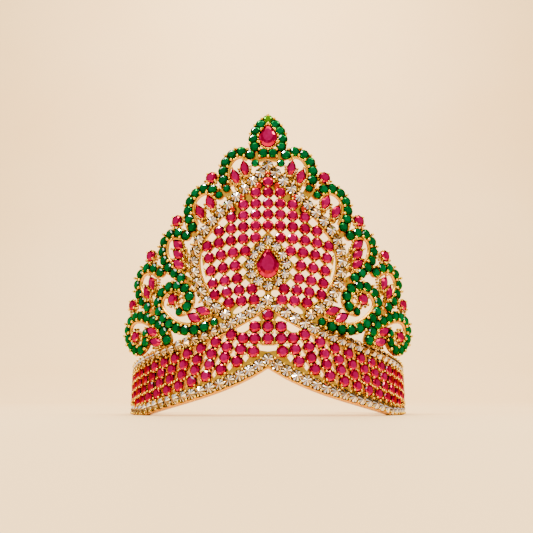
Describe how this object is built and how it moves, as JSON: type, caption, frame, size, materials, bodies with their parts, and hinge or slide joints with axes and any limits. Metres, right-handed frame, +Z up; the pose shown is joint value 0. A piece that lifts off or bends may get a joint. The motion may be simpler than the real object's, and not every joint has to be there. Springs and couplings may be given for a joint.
{
  "type": "mukut crown",
  "caption": "Half-ring mukut crown with a pierced heart panel, set with ruby, green and clear stones, standing on the level feet of its band.",
  "frame": {"origin": "centre of the ring on the surface that the band stands on", "axes": "+Z up, the decorated front faces -Y, +X to the right of a viewer in front"},
  "size_m": [0.1352, 0.1242, 0.1387],
  "materials": {
    "gold": "polished gold plating over brass, with a fine cast grain",
    "ruby": "cut crimson glass stones",
    "emerald": "cut green glass stones in gold prongs",
    "clear": "cut clear glass stones in gold prongs"
  },
  "bodies": {
    "root": {"band_frame": "gold", "panel_frame": "gold", "heart_halo_stones": "clear", "pear_ring_stones": "clear", "upper_chevron_stones": "clear", "lower_chevron_stones": "clear", "green_arch_stones": "emerald", "green_scroll_stones": "emerald", "heart_rubies": "ruby", "band_rubies": "ruby", "accent_rubies": "ruby", "marquise_rubies": "ruby", "centre_pear": "ruby", "finial_pear": "ruby"}
  },
  "joints": []
}
